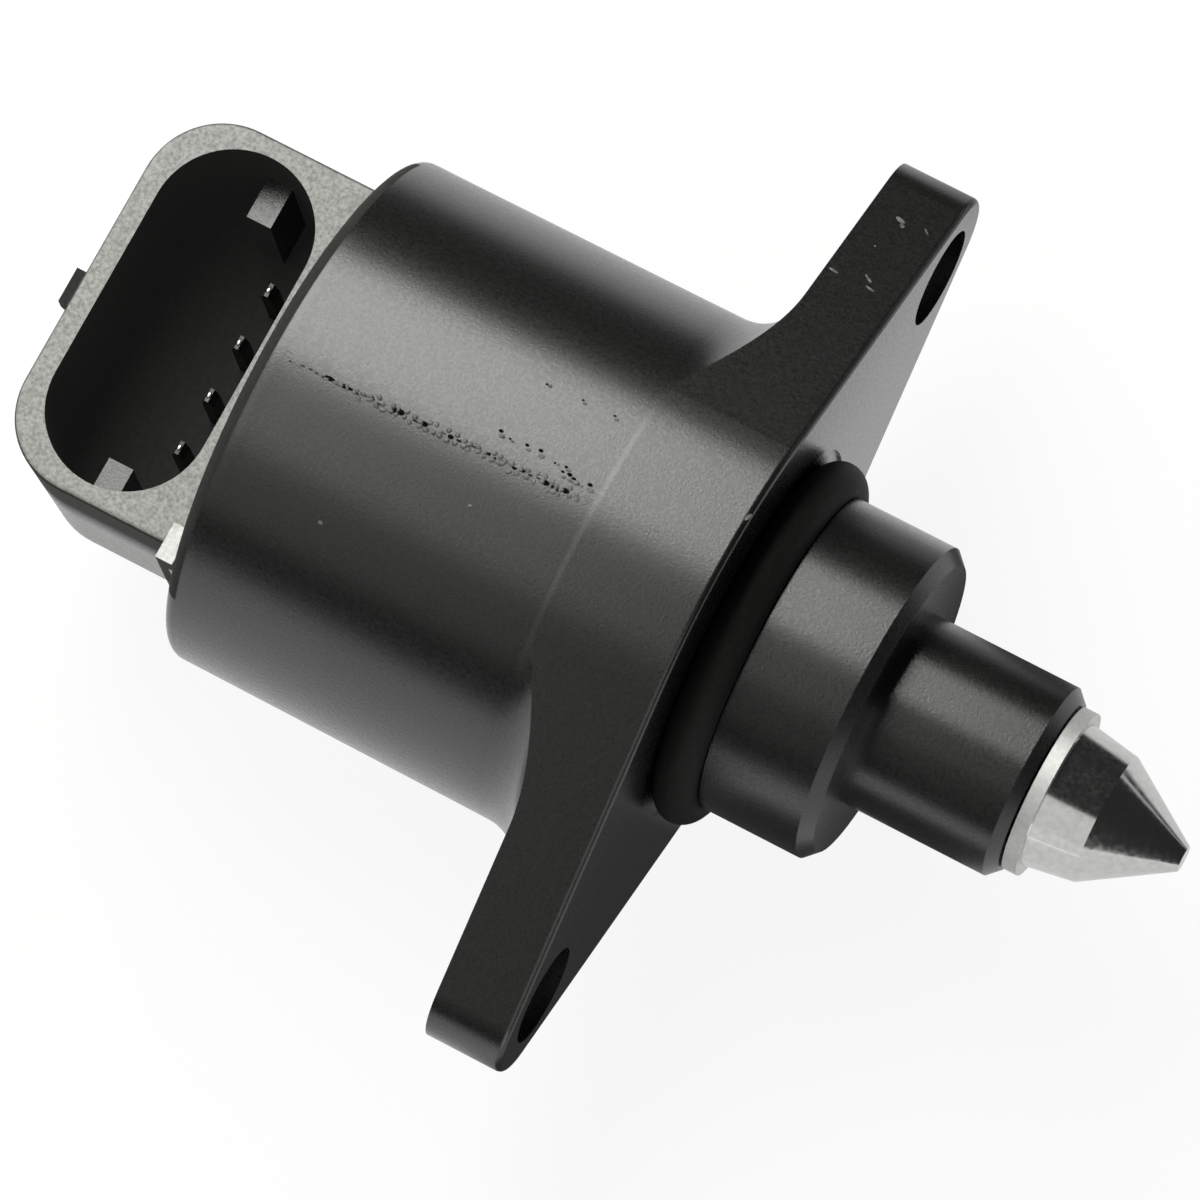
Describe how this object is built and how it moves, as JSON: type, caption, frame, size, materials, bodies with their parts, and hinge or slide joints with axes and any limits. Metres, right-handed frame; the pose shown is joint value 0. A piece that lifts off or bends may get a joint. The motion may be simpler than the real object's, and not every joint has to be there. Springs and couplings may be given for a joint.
{
  "type": "idle control valve",
  "caption": "Idle control valve: a stepper motor in a moulded flanged case drives a metering cone in and out of its nose, with a plug socket at the rear.",
  "frame": {"origin": "on the valve axis, in the mating face of the flange, midway between its two bolt holes", "axes": "+X along the valve axis to the tip of the pintle, +Y along the ears of the flange, +Z the way a plug comes out of the socket"},
  "size_m": [0.0765, 0.0618, 0.0344],
  "materials": {
    "case_plastic": "satin moulded, fine grain",
    "seal_rubber": "matte",
    "pintle_aluminium": "turned",
    "motor_steel": "plain",
    "nut_brass": "turned",
    "coil_copper": "enamelled wire",
    "magnet_ferrite": "ground",
    "bush_bronze": "sintered",
    "terminal_tin": "tinned",
    "motor_plastic": "moulded"
  },
  "bodies": {
    "housing": {"valve_body": "case_plastic", "connector_cover": "case_plastic", "nose_seal": "seal_rubber", "cover_seal": "seal_rubber", "terminal_1": "terminal_tin", "terminal_2": "terminal_tin", "terminal_3": "terminal_tin", "terminal_4": "terminal_tin", "front_stator_cup": "motor_steel", "front_stator_plate": "motor_steel", "rear_stator_plate": "motor_steel", "rear_stator_cup": "motor_steel", "front_bobbin": "motor_plastic", "rear_bobbin": "motor_plastic", "front_winding": "coil_copper", "rear_winding": "coil_copper", "bearing_outer_race": "motor_steel", "rear_bush": "bush_bronze", "thrust_washer": "motor_steel", "guide_bush": "bush_bronze", "pintle_spring": "motor_steel"},
    "rotor": {"rotor_magnet": "magnet_ferrite", "rotor_hub": "motor_plastic", "drive_nut": "nut_brass", "bearing_inner_race": "motor_steel", "bearing_balls": "motor_steel", "bearing_cage": "motor_plastic"},
    "pintle": {"pintle": "pintle_aluminium", "lead_screw": "motor_steel"}
  },
  "joints": [
    {"name": "rotor_spin", "type": "hinge", "parent": "housing", "child": "rotor", "pos_m": [0, 0, 0], "axis": [1, 0, 0], "range_deg": [0, 2880]},
    {"name": "pintle_slide", "type": "slide", "parent": "housing", "child": "pintle", "axis": [1, 0, 0], "range_m": [0, 0.008], "deforming": ["pintle_spring"]}
  ],
  "couplings": [
    {"joint": "pintle_slide", "follows": "rotor_spin", "m_per_rad": 0.00015915}
  ]
}
